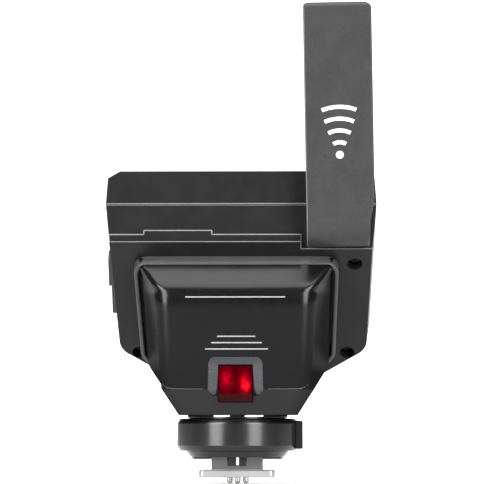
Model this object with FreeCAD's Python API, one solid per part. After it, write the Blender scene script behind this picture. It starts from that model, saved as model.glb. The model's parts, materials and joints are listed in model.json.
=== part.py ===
import FreeCAD, Part
import math
import os

# Wireless flash trigger for a camera's accessory shoe.
# Millimetres. Origin: centre of the shoe foot's underside. +Z up, -Y towards the subject,
# +X to the right as the subject sees it.

Vector = FreeCAD.Vector
Rotation = FreeCAD.Rotation
Placement = FreeCAD.Placement

UP = Vector(0, 0, 1)
SUBJECT = Vector(0, -1, 0)
BIG = 400.0

# ---------------------------------------------------------------- driving dimensions
# Shoe foot
FOOT_WIDTH = 18.6
FOOT_DEPTH = 18.0
FOOT_THICK = 1.8
NECK_WIDTH = 12.6
NECK_DEPTH = 11.0
NECK_TOP = 6.4
BRIDGE_TOP = 2.87
PILLAR_OUTER = 2.35
SLOT_HALF = 0.47
PIN_RADIUS = 0.775
PIN_REACH = 1.8
PIN_PITCH = 2.0
PIN_PLACES = [(0.0, 0.0), (-PIN_PITCH, 2.1), (PIN_PITCH, 2.1), (-PIN_PITCH, 4.1), (PIN_PITCH, 4.1)]
PIN_BORE_CLEARANCE = 0.055
PIN_HEEL = 0.6
SPRING_TOP = 1.95

# Shoe base and lock ring
BASE_BOTTOM = 5.0
NUB_BOTTOM = 4.51
RING_BOTTOM = 6.6
RING_TOP = 14.53
RING_RADIUS = 15.06
RING_BORE = 11.98
RING_FIT = 0.07
WASHER_RADIUS = 12.38
SPIGOT_RADIUS = 8.9
WASHER_BOTTOM = 14.6
BOSS_BOTTOM = 15.0
BOSS_GROOVES = [(-6.3, -1.6), (1.5, 6.6)]
LOCK_PIN_X = -4.8
LOCK_PIN_RADIUS = 0.9
LOCK_PIN_FIT = 0.07
LOCK_PIN_SPAN = (0.3, 9.8)
LOCK_PIN_POCKET = 12.0
SHOE_SCREWS = [(x, y) for x in (-4.9, 4.9) for y in (-3.7, 3.7)]
SHOE_SCREW_RADIUS = 0.8
SHOE_SCREW_HEAD = 1.3
SHOE_SCREW_FIT = 0.05

# Pedestal module under the head
MODULE_BOTTOM = 15.35
MODULE_WALL = 1.8
SKIRT_FRONT = -14.5
CREASE_Y = -18.5
CREASE_Z = 21.8
FACE_TOP_Y = -20.0
FACE_TOP_Z = 45.7
SLOPE_TOP_Y = -13.6
SLOPE_TOP_Z = 52.1
MODULE_REAR = 13.3
MODULE_GROOVE = 0.45
SIDE_FRONT_TOP = (19.3, FACE_TOP_Y, FACE_TOP_Z)
SIDE_FRONT_LOW = (18.0, CREASE_Y, CREASE_Z)
LOW_SIDE_FOOT = 14.75
LOW_SIDE_NORMAL = (1.583, 0, -1.0)
BASE_PLATE_THICK = 1.8
BASE_PLATE_FIT = 0.1

# Collar around the pedestal, on the head's underside: (half width, distance down the slope)
COLLAR_HEIGHT = 3.3
COLLAR_WALL = 0.65
COLLAR_TOP = (25.3, 12.0)
COLLAR_LOW = (24.2, 41.5)
COLLAR_FOOT = (15.0, 54.8)
COLLAR_FOOT_CORNER = 4.0
RIM_CORNER = 2.6
RIM_INSET = COLLAR_WALL + MODULE_GROOVE
RIM_TOP = (COLLAR_TOP[0] - RIM_INSET, COLLAR_TOP[1] + RIM_INSET)
RIM_LOW = (COLLAR_LOW[0] - RIM_INSET, COLLAR_LOW[1])

# Head: a slab tilted back, screen on its upper rear face
HEAD_CENTRE_X = 1.2
HEAD_ANGLE = 50.0
HEAD_CORNER_Y = -5.0
HEAD_TOP = 75.5
HEAD_THICK = 18.4
HEAD_LENGTH = 57.4
HALF_WIDTH = 33.45
PARTING = -10.4
PARTING_GAP = 0.16
RECESS_FLOOR_Y = -11.8
STEP_ONE_Y = -12.6
STEP_ONE_Z = 59.85
STEP_TWO_Z = 58.0
FINGER_TAB = (-22.8, -6.0, 60.85)
POCKET_Z = 56.3
POCKET_X = 16.0
WALL = 1.8
FACE_WALL = 2.2
SIDE_EDGE_V = 1.7
SIDE_TAPER = 0.0466
REAR_DRAFT = 0.176
FRONT_DRAFT = 0.09
VEE_SLOPE = 0.72
VEE_REACH = 63.84
CORNER_RADIUS = 5.0
TOP_CORNER = (32.7, 73.9)
TOP_CORNER_RUN = (1.5, 2.6)
HARNESS_OPENING = (-12.0, 12.0, 22.0, 42.0)

# Screen and rear controls, in the head's own frame (x, down the slope, out of the screen)
GLASS = (27.8, 3.2, 41.2)
GLASS_THICK = 1.0
GLASS_CORNER = 2.5
WINDOW_MARGIN = 1.6
DISPLAY_MARGIN = 1.85
DISPLAY_BACK = -3.6
GASKET_THICK = 0.15
BOARD_TOP = -4.0
BOARD_BOTTOM = -5.2
DIAL_CENTRE = (0.0, 49.8)
DIAL_RADIUS = 6.2
DIAL_HUB = 4.5
DIAL_BORE = 3.3
SET_RADIUS = 2.5
REAR_KEYS = [(-19.6, 43.9), (-12.2, 46.4), (12.2, 46.4), (19.6, 43.9)]
REAR_KEY_SIZE = (6.0, 3.0)
REAR_KEY_FLANGE = 0.6
REAR_KEY_TRAVEL = 0.3
KEY_GAP = 0.12

# Side controls and sockets
SIDE_KEY_SPANS = [(15.7, 24.2, 0.60, 1.10), (24.8, 32.9, 0.45, 0.90)]
SIDE_KEY_Z = (-14.7, -10.9)
SIDE_KEY_DEPTH = 2.3
SIDE_KEY_TRAVEL = 0.4
USB_V = 24.0
USB_Z = -6.8
USB_HALF = (4.47, 1.6)
USB_DEPTH = 6.2
USB_HOLE_MARGIN = 0.25
JACK_V = 35.4
JACK_Z = -7.1
JACK_BORE = 1.25
JACK_LENGTH = 9.0
JACK_NOSE = 1.75
JACK_HOLE = 1.85

# Screws that hold the two head shells together
SCREW_PLACES = [(28.0, 14.5), (-26.0, 42.5), (26.0, 42.5)]
SCREW_HEAD = 1.5
SCREW_SHANK = 0.9
SCREW_BORE = 0.95
SCREW_BOSS = 2.5
SCREW_END = -4.0
SCREW_RECESS = 1.8
SCREW_RECESS_DEPTH = 3.6

# Aerial bar, in its own frame: x across, z along, measured from the pivot
PIVOT_X = 25.2
PIVOT_Z = 66.0
LEAN = 0.95
BAR_FRONT = -18.9
BAR_SPLIT = -14.5
BAR_BACK = -13.05
BAR_LEFT = -7.85
BAR_RIGHT = 8.95
BAR_BOTTOM = -9.3
BAR_TOP = 50.7
BAR_WALL = 1.5
BAR_SOLID_END = 5.5
BAR_SCREWS = [9.0, 44.0]
BAR_SCREW_X = 0.5
HINGE_ROLL = 5.7
TIP_ROUND = 1.6
HINGE_RADIUS = 3.0
HINGE_FIT = 0.05
HINGE_BOSS = 5.4
HINGE_BOSS_DEEP = 2.4
HINGE_FLANGE = 4.6
HINGE_STUB = 2.2
HINGE_SHOULDER = RECESS_FLOOR_Y + HINGE_BOSS_DEEP + 0.05
HINGE_WASHER_THICK = 0.5
HINGE_NUT_THICK = 1.6
HINGE_END = HINGE_SHOULDER + HINGE_WASHER_THICK + HINGE_NUT_THICK + 0.3

# Focus-assist lamp
LAMP_HALF = 6.7
LAMP_TOP = 29.7
LAMP_BOTTOM = 18.55
LENS_HALF = 4.1
LENS_TOP = 27.5
LAMP_POCKET_BACK = -15.2
LAMP_LED_Z = 24.0


# ---------------------------------------------------------------- small helpers
def box(x0, x1, y0, y1, z0, z1):
    return Part.makeBox(x1 - x0, y1 - y0, z1 - z0, Vector(x0, y0, z0))


def rod(radius, start, direction, length):
    return Part.makeCylinder(radius, length, Vector(*start), direction)


def tube(outer, inner, start, direction, length):
    return rod(outer, start, direction, length).cut(rod(inner, start, direction, length))


def trimmed(shape, point, outward):
    """The shape without what lies beyond a plane."""
    block = Part.makeBox(2 * BIG, 2 * BIG, BIG, Vector(-BIG, -BIG, 0))
    block.Placement = Placement(Vector(*point), Rotation(UP, Vector(*outward)))
    return shape.cut(block)


def joined(shapes):
    whole = shapes[0]
    for shape in shapes[1:]:
        whole = whole.fuse(shape)
    return whole.removeSplitter()


def rounded(shape, radius, chosen):
    """Fillet the edges whose middle point passes the test."""
    edges = []
    for edge in shape.Edges:
        middle = edge.valueAt((edge.FirstParameter + edge.LastParameter) / 2)
        if chosen(middle, edge):
            edges.append(edge)
    return shape.makeFillet(radius, edges)


def edge_run(edge):
    """Direction of an edge, as a unit vector with no negative parts."""
    run = (edge.Vertexes[-1].Point - edge.Vertexes[0].Point).normalize()
    return Vector(abs(run.x), abs(run.y), abs(run.z))


def run_along_x(middle, edge):
    return edge_run(edge).x > 0.9


def run_along_y(middle, edge):
    return edge_run(edge).y > 0.9


def run_along_z(middle, edge):
    return edge_run(edge).z > 0.9


def prism(points, direction):
    """A closed polygon of 3-D points, extruded."""
    corners = [Vector(*point) for point in points]
    return Part.Face(Part.makePolygon(corners + corners[:1])).extrude(direction)


def revolved(profile):
    """Turn a closed (radius, height) profile about the Z axis."""
    corners = [Vector(radius, 0, height) for radius, height in profile]
    face = Part.Face(Part.makePolygon(corners + corners[:1]))
    return face.revolve(Vector(0, 0, 0), UP, 360)


def along(start, end):
    """Outward normal, in the Y-Z plane, of a wall that runs down from start to end."""
    return (0, end[1] - start[1], start[0] - end[0])


HEAD = Placement(Vector(HEAD_CENTRE_X, HEAD_CORNER_Y, HEAD_TOP), Rotation(Vector(1, 0, 0), -HEAD_ANGLE))
HEAD_NORMAL = HEAD.Rotation.multVec(UP)


def in_head(shape):
    """Move a shape made in the head's own frame to its place."""
    moved = shape.copy()
    moved.Placement = HEAD.multiply(moved.Placement)
    return moved


def head_trim(shape, point, outward):
    """Trim a shape in the head's frame by a plane given in the part's frame."""
    inverse = HEAD.inverse()
    local_point = inverse.multVec(Vector(*point))
    local_normal = inverse.Rotation.multVec(Vector(*outward))
    return trimmed(shape, tuple(local_point), tuple(local_normal))


# ---------------------------------------------------------------- head outline
def head_slab(inset):
    """The head's tapered slab in its own frame, all walls moved in by the inset."""
    slab = box(-60, 60, -40, HEAD_LENGTH - inset, -HEAD_THICK + inset, -inset)
    for side in (-1, 1):
        edge = (side * (HALF_WIDTH - inset), SIDE_EDGE_V, PARTING)
        slab = trimmed(slab, edge, (side, SIDE_TAPER, REAR_DRAFT))
        slab = trimmed(slab, edge, (side, SIDE_TAPER, -FRONT_DRAFT))
        vee_length = math.hypot(VEE_SLOPE, 1)
        vee_point = (0, VEE_REACH - inset * vee_length, 0)
        slab = trimmed(slab, vee_point, (side * VEE_SLOPE, 1, 0))
        corner = (HEAD_CENTRE_X + side * (TOP_CORNER[0] - inset), 0, TOP_CORNER[1] - inset)
        slab = head_trim(slab, corner, (side * TOP_CORNER_RUN[0], 0, TOP_CORNER_RUN[1]))
    return head_trim(slab, (0, 0, HEAD_TOP - inset), (0, 0, 1))


def head_outer():
    """The outside of both head shells, with the recess for the folded aerial."""
    slab = head_slab(0)
    slab = rounded(slab, CORNER_RADIUS, upright_corner)
    above = head_trim(slab, (0, RECESS_FLOOR_Y, 0), (0, -1, 0))
    step_two = head_trim(slab, (0, 0, STEP_TWO_Z), (0, 0, 1))
    step_one = head_trim(slab, (0, 0, STEP_ONE_Z), (0, 0, 1))
    step_one = head_trim(step_one, (0, STEP_ONE_Y, 0), (0, -1, 0))
    tab_left, tab_right, tab_top = FINGER_TAB
    finger_tab = box(tab_left, tab_right, STEP_ONE_Y, RECESS_FLOOR_Y + 1, STEP_ONE_Z - 1, tab_top)
    steps = joined([in_head(step_two), in_head(step_one), finger_tab])
    pocket = box(POCKET_X, 60, -40, RECESS_FLOOR_Y, POCKET_Z, 80)
    return joined([in_head(above), steps.cut(pocket)])


def upright_corner(middle, edge):
    """Edges square to the screen at the lower corners of the slab."""
    return run_along_z(middle, edge) and middle.y > 30


def below_parting(shape, offset):
    """The part of a shape under the parting plane, moved by the offset."""
    level = HEAD.multVec(Vector(0, 0, PARTING + offset))
    return trimmed(shape, tuple(level), tuple(HEAD_NORMAL))


def above_parting(shape, offset):
    level = HEAD.multVec(Vector(0, 0, PARTING + offset))
    return trimmed(shape, tuple(level), tuple(HEAD_NORMAL * -1))


def head_cavity():
    cavity = head_slab(WALL)
    cavity = head_trim(cavity, (0, RECESS_FLOOR_Y + WALL, 0), (0, -1, 0))
    cavity = trimmed(cavity, (0, 0, -FACE_WALL), (0, 0, 1))
    return in_head(cavity)


# ---------------------------------------------------------------- pedestal outline
def on_collar_rim(place):
    """A point of the pedestal where it leaves the collar, given as (x, distance down the slope)."""
    x, down = place
    point = HEAD.multVec(Vector(0, down, -HEAD_THICK - COLLAR_HEIGHT))
    return Vector(x, point.y, point.z)


def rim_prism(inset):
    """The rounded outline of the pedestal inside the collar, extruded square to the head."""
    top_x, top_down = RIM_TOP[0] - inset, RIM_TOP[1] + inset
    taper = (RIM_TOP[0] - RIM_LOW[0]) / (RIM_LOW[1] - RIM_TOP[1])
    foot_down = 80.0
    foot_x = top_x - taper * (foot_down - top_down)
    outline = [(top_x, top_down), (foot_x, foot_down), (-foot_x, foot_down), (-top_x, top_down)]
    points = [(x - HEAD_CENTRE_X, down, 10) for x, down in outline]
    block = prism(points, Vector(0, 0, -80))
    block = rounded(block, RIM_CORNER - inset,
                    lambda middle, edge: middle.y < 20 and run_along_z(middle, edge))
    return in_head(block)


def pedestal(inset, through_head=0.0):
    """The pedestal's outside, all side walls moved in by the inset."""
    block = box(-60, 60, -60, 60, MODULE_BOTTOM, 80)
    under = HEAD.multVec(Vector(0, 0, -HEAD_THICK + through_head))
    block = trimmed(block, tuple(under), tuple(HEAD_NORMAL))
    block = block.common(rim_prism(inset))
    walls = [
        ((0, SLOPE_TOP_Y, SLOPE_TOP_Z), along((SLOPE_TOP_Y, SLOPE_TOP_Z), (FACE_TOP_Y, FACE_TOP_Z))),
        ((0, FACE_TOP_Y, FACE_TOP_Z), along((FACE_TOP_Y, FACE_TOP_Z), (CREASE_Y, CREASE_Z))),
        ((0, CREASE_Y, CREASE_Z), along((CREASE_Y, CREASE_Z), (SKIRT_FRONT, MODULE_BOTTOM))),
        ((0, MODULE_REAR, MODULE_BOTTOM), (0, 1, -0.55)),
    ]
    for point, outward in walls:
        block = trimmed_inset(block, point, outward, inset)
    rim_top, rim_low = on_collar_rim(RIM_TOP), on_collar_rim(RIM_LOW)
    face_top, face_low = Vector(*SIDE_FRONT_TOP), Vector(*SIDE_FRONT_LOW)
    side_planes = [
        (rim_top, (face_top - rim_top).cross(face_low - rim_top)),
        (rim_top, (rim_low - rim_top).cross(face_low - rim_top)),
        (Vector(LOW_SIDE_FOOT, 0, MODULE_BOTTOM), Vector(*LOW_SIDE_NORMAL)),
    ]
    for point, normal in side_planes:
        if normal.x < 0:
            normal = normal * -1
        for side in (-1, 1):
            block = trimmed_inset(block, (side * point.x, point.y, point.z),
                                  (side * normal.x, normal.y, normal.z), inset)
    return block


def trimmed_inset(shape, point, outward, inset):
    normal = Vector(*outward).normalize()
    return trimmed(shape, tuple(Vector(*point) - normal * inset), tuple(normal))


# ---------------------------------------------------------------- head shells
def screw_boss(place, radius, low, high):
    return rod(radius, (place[0], place[1], low), UP, high - low)


def capsule(centre, size, low, high):
    """A round-ended key shape in the head's frame."""
    half = (size[0] - size[1]) / 2
    radius = size[1] / 2
    bar = box(centre[0] - half, centre[0] + half, centre[1] - radius, centre[1] + radius, low, high)
    ends = [rod(radius, (centre[0] + side * half, centre[1], low), UP, high - low) for side in (-1, 1)]
    return joined([bar] + ends)


def glass_block(margin, low, high):
    half, top, bottom = GLASS
    block = box(-half - margin, half + margin, top - margin, bottom + margin, low, high)
    return rounded(block, GLASS_CORNER, run_along_z)


def side_key(index, grow, inward):
    """A wedge-shaped key in the left wall, from its face inwards."""
    start, end, proud_start, proud_end = SIDE_KEY_SPANS[index]
    low, high = SIDE_KEY_Z
    wall_start = side_wall_x(start)
    wall_end = side_wall_x(end)
    outline = [(-wall_start - proud_start - grow, start - grow, low - grow),
               (-wall_end - proud_end - grow, end + grow, low - grow),
               (-wall_end + inward, end + grow, low - grow),
               (-wall_start + inward, start - grow, low - grow)]
    return prism(outline, Vector(0, 0, high - low + 2 * grow))


def side_wall_x(down):
    """Half width of the front shell at a distance down the slope, level with the side keys."""
    level = (SIDE_KEY_Z[0] + SIDE_KEY_Z[1]) / 2 - PARTING
    return HALF_WIDTH - SIDE_TAPER * (down - SIDE_EDGE_V) + FRONT_DRAFT * level


def hinge_disc(radius, start, end):
    return rod(radius, (PIVOT_X, start, PIVOT_Z), Vector(0, 1, 0), end - start)


def make_head_shells():
    """The front shell and the screen-side shell, split at the parting plane."""
    cavity = head_cavity()
    hollow = head_outer().cut(cavity)
    front = below_parting(hollow, -PARTING_GAP)
    rear = above_parting(hollow, 0)

    front_bosses = []
    rear_bosses = []
    for place in SCREW_PLACES:
        front_bosses.append(screw_boss(place, SCREW_BOSS, -HEAD_THICK + 1, PARTING - PARTING_GAP))
        rear_bosses.append(screw_boss(place, SCREW_BOSS, PARTING, -1))
    outer_slab = in_head(head_slab(0.4))
    front_bosses = in_head(joined(front_bosses)).common(outer_slab)
    rear_bosses = in_head(joined(rear_bosses)).common(outer_slab)
    hinge_boss = hinge_disc(HINGE_BOSS, RECESS_FLOOR_Y, RECESS_FLOOR_Y + HINGE_BOSS_DEEP)
    hinge_room = hinge_disc(HINGE_BOSS + 0.2, RECESS_FLOOR_Y - 1, RECESS_FLOOR_Y + HINGE_BOSS_DEEP + 0.2)
    front = joined([front, front_bosses, hinge_boss])
    rear = rear.fuse(rear_bosses).cut(hinge_room)

    front = front.cut(hinge_disc(HINGE_RADIUS + HINGE_FIT, RECESS_FLOOR_Y - 4, RECESS_FLOOR_Y + 6))
    cuts = []
    for place in SCREW_PLACES:
        cuts.append(screw_boss(place, SCREW_RECESS, -HEAD_THICK - 3, -HEAD_THICK + SCREW_RECESS_DEPTH))
        cuts.append(screw_boss(place, SCREW_BORE, -HEAD_THICK - 1, SCREW_END + 0.4))
    for index in range(len(SIDE_KEY_SPANS)):
        cuts.append(side_key(index, KEY_GAP, 4.0))
    x0, x1, v0, v1 = HARNESS_OPENING
    cuts.append(box(x0, x1, v0, v1, -HEAD_THICK - 1, -HEAD_THICK + WALL + 1))
    front = front.cut(in_head(joined(cuts)))

    half, top, bottom = GLASS
    ledge = WINDOW_MARGIN
    openings = [glass_block(0.1, -GLASS_THICK - GASKET_THICK, 1),
                box(-half + ledge, half - ledge, top + ledge, bottom - ledge, -FACE_WALL - 1, 1),
                rod(DIAL_HUB + 0.06, (DIAL_CENTRE[0], DIAL_CENTRE[1], -FACE_WALL - 1), UP, FACE_WALL + 2),
                rod(JACK_HOLE, (jack_mouth_x() - 3, JACK_V, JACK_Z), Vector(1, 0, 0), 8),
                display_block(0.2)]
    for place in REAR_KEYS:
        size = (REAR_KEY_SIZE[0] + 2 * KEY_GAP, REAR_KEY_SIZE[1] + 2 * KEY_GAP)
        openings.append(capsule(place, size, -FACE_WALL - 1, 1))
    for place in SCREW_PLACES:
        openings.append(screw_boss(place, SCREW_BORE, PARTING - 1, SCREW_END + 0.4))
    along_v, deep = USB_HALF[0] + USB_HOLE_MARGIN, USB_HALF[1] + USB_HOLE_MARGIN
    wall = side_face_x(USB_V, USB_Z)
    usb_hole = box(wall - 3, wall + 3, USB_V - along_v, USB_V + along_v, USB_Z - deep, USB_Z + deep)
    openings.append(rounded(usb_hole, 1.7, run_along_x))
    for opening in openings:
        rear = rear.cut(in_head(opening))
    return front, rear


# ---------------------------------------------------------------- screen, boards and sockets
def make_glass():
    return in_head(glass_block(0, -GLASS_THICK, 0))


def make_gasket():
    half, top, bottom = GLASS
    ledge = WINDOW_MARGIN
    ring = glass_block(0, -GLASS_THICK - GASKET_THICK, -GLASS_THICK)
    hole = box(-half + ledge, half - ledge, top + ledge, bottom - ledge, -3, 0)
    return in_head(ring.cut(hole))


def display_block(grow):
    half, top, bottom = GLASS
    margin = DISPLAY_MARGIN - grow
    return box(-half + margin, half - margin, top + margin, bottom - margin,
               DISPLAY_BACK - grow, -GLASS_THICK)


def make_display():
    return in_head(display_block(0))


def make_board():
    board = head_slab(WALL + 0.8)
    board = head_trim(board, (0, RECESS_FLOOR_Y + WALL + 0.5, 0), (0, -1, 0))
    board = trimmed(board, (0, 0, BOARD_TOP), (0, 0, 1))
    board = trimmed(board, (0, 0, BOARD_BOTTOM), (0, 0, -1))
    board = trimmed(board, (0, 5.2, 0), (0, -1, 0))
    for place in SCREW_PLACES:
        board = board.cut(screw_boss(place, SCREW_BOSS + 0.4, -20, 0))
    return in_head(board)


def make_radio_shield():
    can = box(5, 19, 27.5, 41, -8.0, BOARD_BOTTOM)
    inside = box(5.3, 18.7, 27.8, 40.7, -7.7, BOARD_BOTTOM + 0.1)
    lid = rounded(can, 0.8, run_along_z)
    return in_head(lid.cut(inside))


def make_battery():
    cell = box(-26, 20, 11.6, 27, -15.8, -9.4)
    cell = rounded(cell, 1.2, run_along_x)
    return in_head(cell)


def make_buzzer():
    sounder = tube(4.5, 0.8, (-16, 36, -7.9), UP, 2.7)
    backing = rod(4.5, (-16, 36, -5.7), UP, 0.5)
    return in_head(joined([sounder, backing]))


def make_usb_socket():
    along_v, deep = USB_HALF
    right = side_face_x(USB_V, USB_Z) - 0.5
    outer = box(right - USB_DEPTH - 1.1, right, USB_V - along_v, USB_V + along_v, USB_Z - deep, USB_Z + deep)
    outer = rounded(outer, 1.5, run_along_x)
    inner = box(right - USB_DEPTH, right + 1, USB_V - along_v + 0.3, USB_V + along_v - 0.3,
                USB_Z - deep + 0.3, USB_Z + deep - 0.3)
    inner = rounded(inner, 1.2, run_along_x)
    tongue = box(right - USB_DEPTH - 0.2, right - 0.7, USB_V - 3.3, USB_V + 3.3, USB_Z - 0.35, USB_Z + 0.35)
    return in_head(joined([outer.cut(inner), tongue]))


def side_face_x(down, height):
    """Half width of the screen-side shell at a place on its side wall."""
    return HALF_WIDTH - SIDE_TAPER * (down - SIDE_EDGE_V) - REAR_DRAFT * (height - PARTING)


def jack_mouth_x():
    return side_face_x(JACK_V, JACK_Z) - 0.6


def make_sync_jack():
    mouth = jack_mouth_x()
    body = box(mouth - JACK_LENGTH - 1.2, mouth - 2.4, JACK_V - 2.5, JACK_V + 2.2,
               JACK_Z - 1.9, JACK_Z + 1.9)
    nose = rod(JACK_NOSE, (mouth - 3, JACK_V, JACK_Z), Vector(1, 0, 0), 3)
    bore = rod(JACK_BORE, (mouth - JACK_LENGTH, JACK_V, JACK_Z), Vector(1, 0, 0), JACK_LENGTH + 1)
    return in_head(joined([body, nose]).cut(bore))


def make_enclosure_screws():
    screws = []
    seat = -HEAD_THICK + SCREW_RECESS_DEPTH
    for x, v in SCREW_PLACES:
        head = screw_boss((x, v), SCREW_HEAD, seat - 0.9, seat)
        shank = screw_boss((x, v), SCREW_SHANK, seat - 0.1, SCREW_END)
        screw = joined([head, shank])
        screw = screw.cut(box(x - 0.9, x + 0.9, v - 0.16, v + 0.16, seat - 1, seat - 0.5))
        screw = screw.cut(box(x - 0.16, x + 0.16, v - 0.9, v + 0.9, seat - 1, seat - 0.5))
        screws.append(in_head(screw))
    return Part.makeCompound(screws)


# ---------------------------------------------------------------- rear controls
def make_encoder():
    return in_head(tube(5.4, 3.1, (DIAL_CENTRE[0], DIAL_CENTRE[1], BOARD_TOP), UP, 1.25))


def make_dial():
    x, v = DIAL_CENTRE
    grip = rod(DIAL_RADIUS, (x, v, 0.25), UP, 1.75)
    hub = rod(DIAL_HUB, (x, v, -2.65), UP, 3.5)
    dial = joined([grip, hub]).cut(rod(DIAL_BORE, (x, v, -4), UP, 8))
    notches = 28
    for index in range(notches):
        angle = 2 * math.pi * index / notches
        place = (x + DIAL_RADIUS * math.cos(angle), v + DIAL_RADIUS * math.sin(angle), 0)
        dial = dial.cut(rod(0.24, place, UP, 3))
    return in_head(dial)


def make_set_button():
    x, v = DIAL_CENTRE
    cap = rod(SET_RADIUS, (x, v, -2.3), UP, 4.5)
    cap = rounded(cap, 0.4, lambda middle, edge: middle.z > 2)
    return in_head(joined([cap, rod(1.2, (x, v, -3.1), UP, 1)]))


def make_rear_key(place):
    cap = capsule(place, REAR_KEY_SIZE, -2.75, 0.8)
    flange_size = (REAR_KEY_SIZE[0] + REAR_KEY_FLANGE, REAR_KEY_SIZE[1] + REAR_KEY_FLANGE)
    flange = capsule(place, flange_size, -2.75, -2.3)
    return in_head(joined([cap, flange]))


def make_rear_switches():
    switches = [box(x - 1.6, x + 1.6, v - 1.3, v + 1.3, BOARD_TOP, -3.1) for x, v in REAR_KEYS]
    switches.append(rod(1.5, (DIAL_CENTRE[0], DIAL_CENTRE[1], BOARD_TOP), UP, 0.5))
    return Part.makeCompound([in_head(switch) for switch in switches])


def make_side_key(index):
    start, end = SIDE_KEY_SPANS[index][:2]
    low, high = SIDE_KEY_Z
    key = side_key(index, 0, SIDE_KEY_DEPTH + 0.5)
    inner = -side_wall_x(end) + SIDE_KEY_DEPTH
    flange = box(inner, inner + 0.5, start - 0.05, end + 0.05, low - 0.7, high)
    return in_head(joined([key, flange]))


def make_side_switches():
    switches = []
    low, high = SIDE_KEY_Z
    for start, end, _, _ in SIDE_KEY_SPANS:
        face = -side_wall_x(end) + SIDE_KEY_DEPTH + 0.5 + SIDE_KEY_TRAVEL + 0.05
        centre = (start + end) / 2
        switches.append(in_head(box(face, face + 1.6, centre - 1.6, centre + 1.6, low + 0.3, high - 0.3)))
    return Part.makeCompound(switches)


# ---------------------------------------------------------------- aerial
def bar_outline(inset):
    """The bar's outline about the pivot: its hinge end is waisted on the outer side."""
    return [(BAR_LEFT + inset, BAR_BOTTOM + inset), (BAR_RIGHT - 1.45 - inset, BAR_BOTTOM + inset),
            (BAR_RIGHT - 1.05 - inset, -3.3), (BAR_RIGHT - inset, 2.8),
            (BAR_RIGHT - inset, BAR_TOP - inset), (BAR_LEFT + inset, BAR_TOP - inset)]


def bar_block(inset, front, back):
    points = [(x, front, z) for x, z in bar_outline(inset)]
    return prism(points, Vector(0, back - front, 0))


def at_pivot(shape):
    """Move a piece of the bar to its pivot, leaning as the bar stands."""
    moved = shape.copy()
    placement = Placement(Vector(PIVOT_X, 0, PIVOT_Z), Rotation(Vector(0, 1, 0), -LEAN))
    moved.Placement = placement.multiply(moved.Placement)
    return moved


def bar_rod(radius, x, height, start, end):
    """A round bar through the aerial's thickness."""
    return rod(radius, (x, start, height), Vector(0, 1, 0), end - start)


def make_bar_covers():
    bar = bar_block(0, BAR_FRONT, BAR_BACK)
    bar = rounded(bar, 1.5, lambda middle, edge: edge_run(edge).y > 0.9 and middle.x > 8 and middle.z > 40)
    bar = rounded(bar, 0.7, lambda middle, edge: edge_run(edge).y > 0.9 and middle.x < -7 and middle.z > 40)
    bar = bar.common(bar_side_profile())
    cavity = bar_block(BAR_WALL, BAR_FRONT + BAR_WALL, BAR_SPLIT + 0.01)
    cavity = cavity.cut(box(-20, 20, -30, 0, -20, BAR_SOLID_END))
    front = trimmed(bar, (0, BAR_SPLIT, 0), (0, 1, 0)).cut(cavity)
    back = trimmed(bar, (0, BAR_SPLIT, 0), (0, -1, 0))
    screws = []
    for height in BAR_SCREWS:
        recess = bar_rod(1.3, BAR_SCREW_X, height, BAR_BACK - 0.8, BAR_BACK + 1)
        bore = bar_rod(0.75, BAR_SCREW_X, height, BAR_SPLIT - 2.4, BAR_BACK + 1)
        pillar = bar_rod(1.7, BAR_SCREW_X, height, BAR_FRONT + 1, BAR_SPLIT)
        back = back.cut(recess).cut(bore)
        front = joined([front, pillar]).cut(bore)
        head = bar_rod(1.2, BAR_SCREW_X, height, BAR_BACK - 0.8, BAR_BACK - 0.1)
        stem = bar_rod(0.7, BAR_SCREW_X, height, BAR_SPLIT - 2.3, BAR_BACK - 0.5)
        screws.append(at_pivot(joined([head, stem])))
    front = front.cut(bar_rod(HINGE_FLANGE + 0.05, 0, 0, BAR_SPLIT - 2.0, BAR_SPLIT))
    back = back.cut(bar_rod(HINGE_RADIUS + HINGE_FIT, 0, 0, BAR_SPLIT - 1, BAR_BACK + 1))
    return at_pivot(front), at_pivot(back), Part.makeCompound(screws)


def bar_side_profile():
    """The bar seen from its side: its hinge end rolls back, its tip has a small round."""
    corner = math.sqrt(0.5)
    roll_y = BAR_FRONT + HINGE_ROLL
    roll_z = BAR_BOTTOM + HINGE_ROLL
    tip_y = BAR_FRONT + TIP_ROUND
    tip_z = BAR_TOP - TIP_ROUND
    roll = Part.Arc(Vector(0, roll_y, BAR_BOTTOM),
                    Vector(0, roll_y - HINGE_ROLL * corner, roll_z - HINGE_ROLL * corner),
                    Vector(0, BAR_FRONT, roll_z))
    tip = Part.Arc(Vector(0, BAR_FRONT, tip_z),
                   Vector(0, tip_y - TIP_ROUND * corner, tip_z + TIP_ROUND * corner),
                   Vector(0, tip_y, BAR_TOP))
    back_top = Vector(0, BAR_BACK, BAR_TOP)
    back_low = Vector(0, BAR_BACK, BAR_BOTTOM)
    edges = [roll.toShape(), Part.makeLine(Vector(0, BAR_FRONT, roll_z), Vector(0, BAR_FRONT, tip_z)),
             tip.toShape(), Part.makeLine(Vector(0, tip_y, BAR_TOP), back_top),
             Part.makeLine(back_top, back_low), Part.makeLine(back_low, Vector(0, roll_y, BAR_BOTTOM))]
    face = Part.Face(Part.Wire(edges))
    face.translate(Vector(-30, 0, 0))
    return face.extrude(Vector(60, 0, 0))


def make_aerial_element():
    strip = box(-4.5, 5.6, BAR_SPLIT - 1.6, BAR_SPLIT - 0.8, 6.2, 48.4)
    for height in BAR_SCREWS:
        strip = strip.cut(bar_rod(1.9, BAR_SCREW_X, height, -20, 0))
    return at_pivot(strip)


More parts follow.
